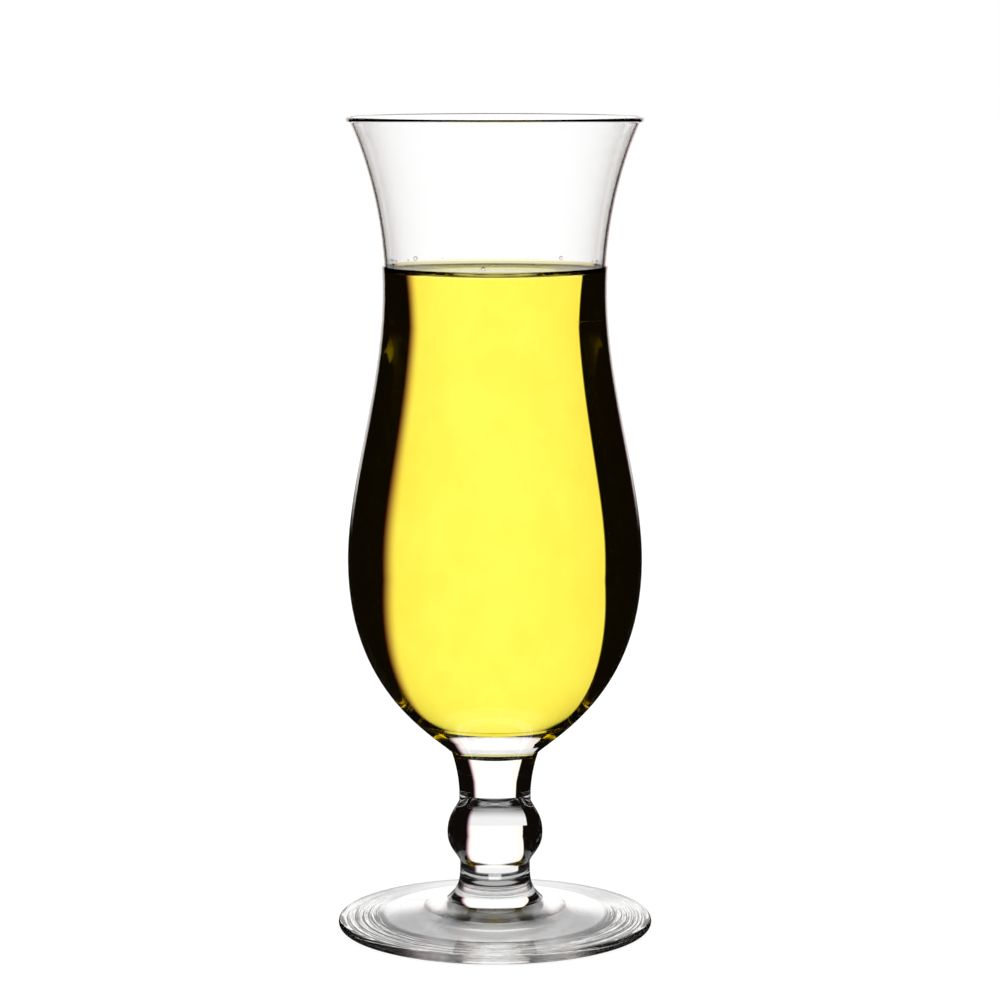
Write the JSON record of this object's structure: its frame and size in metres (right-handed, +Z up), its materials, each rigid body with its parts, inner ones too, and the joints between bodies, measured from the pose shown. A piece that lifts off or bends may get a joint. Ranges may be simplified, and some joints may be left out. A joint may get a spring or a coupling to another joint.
{
  "type": "hurricane glass",
  "caption": "Tall footed hurricane glass with a flared rim, narrow waist and round belly, on a short stem with a ball knop and a wide foot, filled with a clear yellow drink.",
  "frame": {"origin": "centre of the resting ring under the foot, on the surface that the glass stands on", "axes": "+Z up along the glass's axis of turning, from the foot to the rim; X and Y are any two level directions, because the glass is round"},
  "size_m": [0.0798, 0.0798, 0.205],
  "materials": {
    "clear_glass": "fire-polished clear glass",
    "yellow_drink": "clear yellow liquid with a still surface"
  },
  "bodies": {
    "root": {"bowl": "clear_glass", "neck": "clear_glass", "knop": "clear_glass", "ankle": "clear_glass", "foot": "clear_glass", "drink": "yellow_drink"}
  },
  "joints": []
}
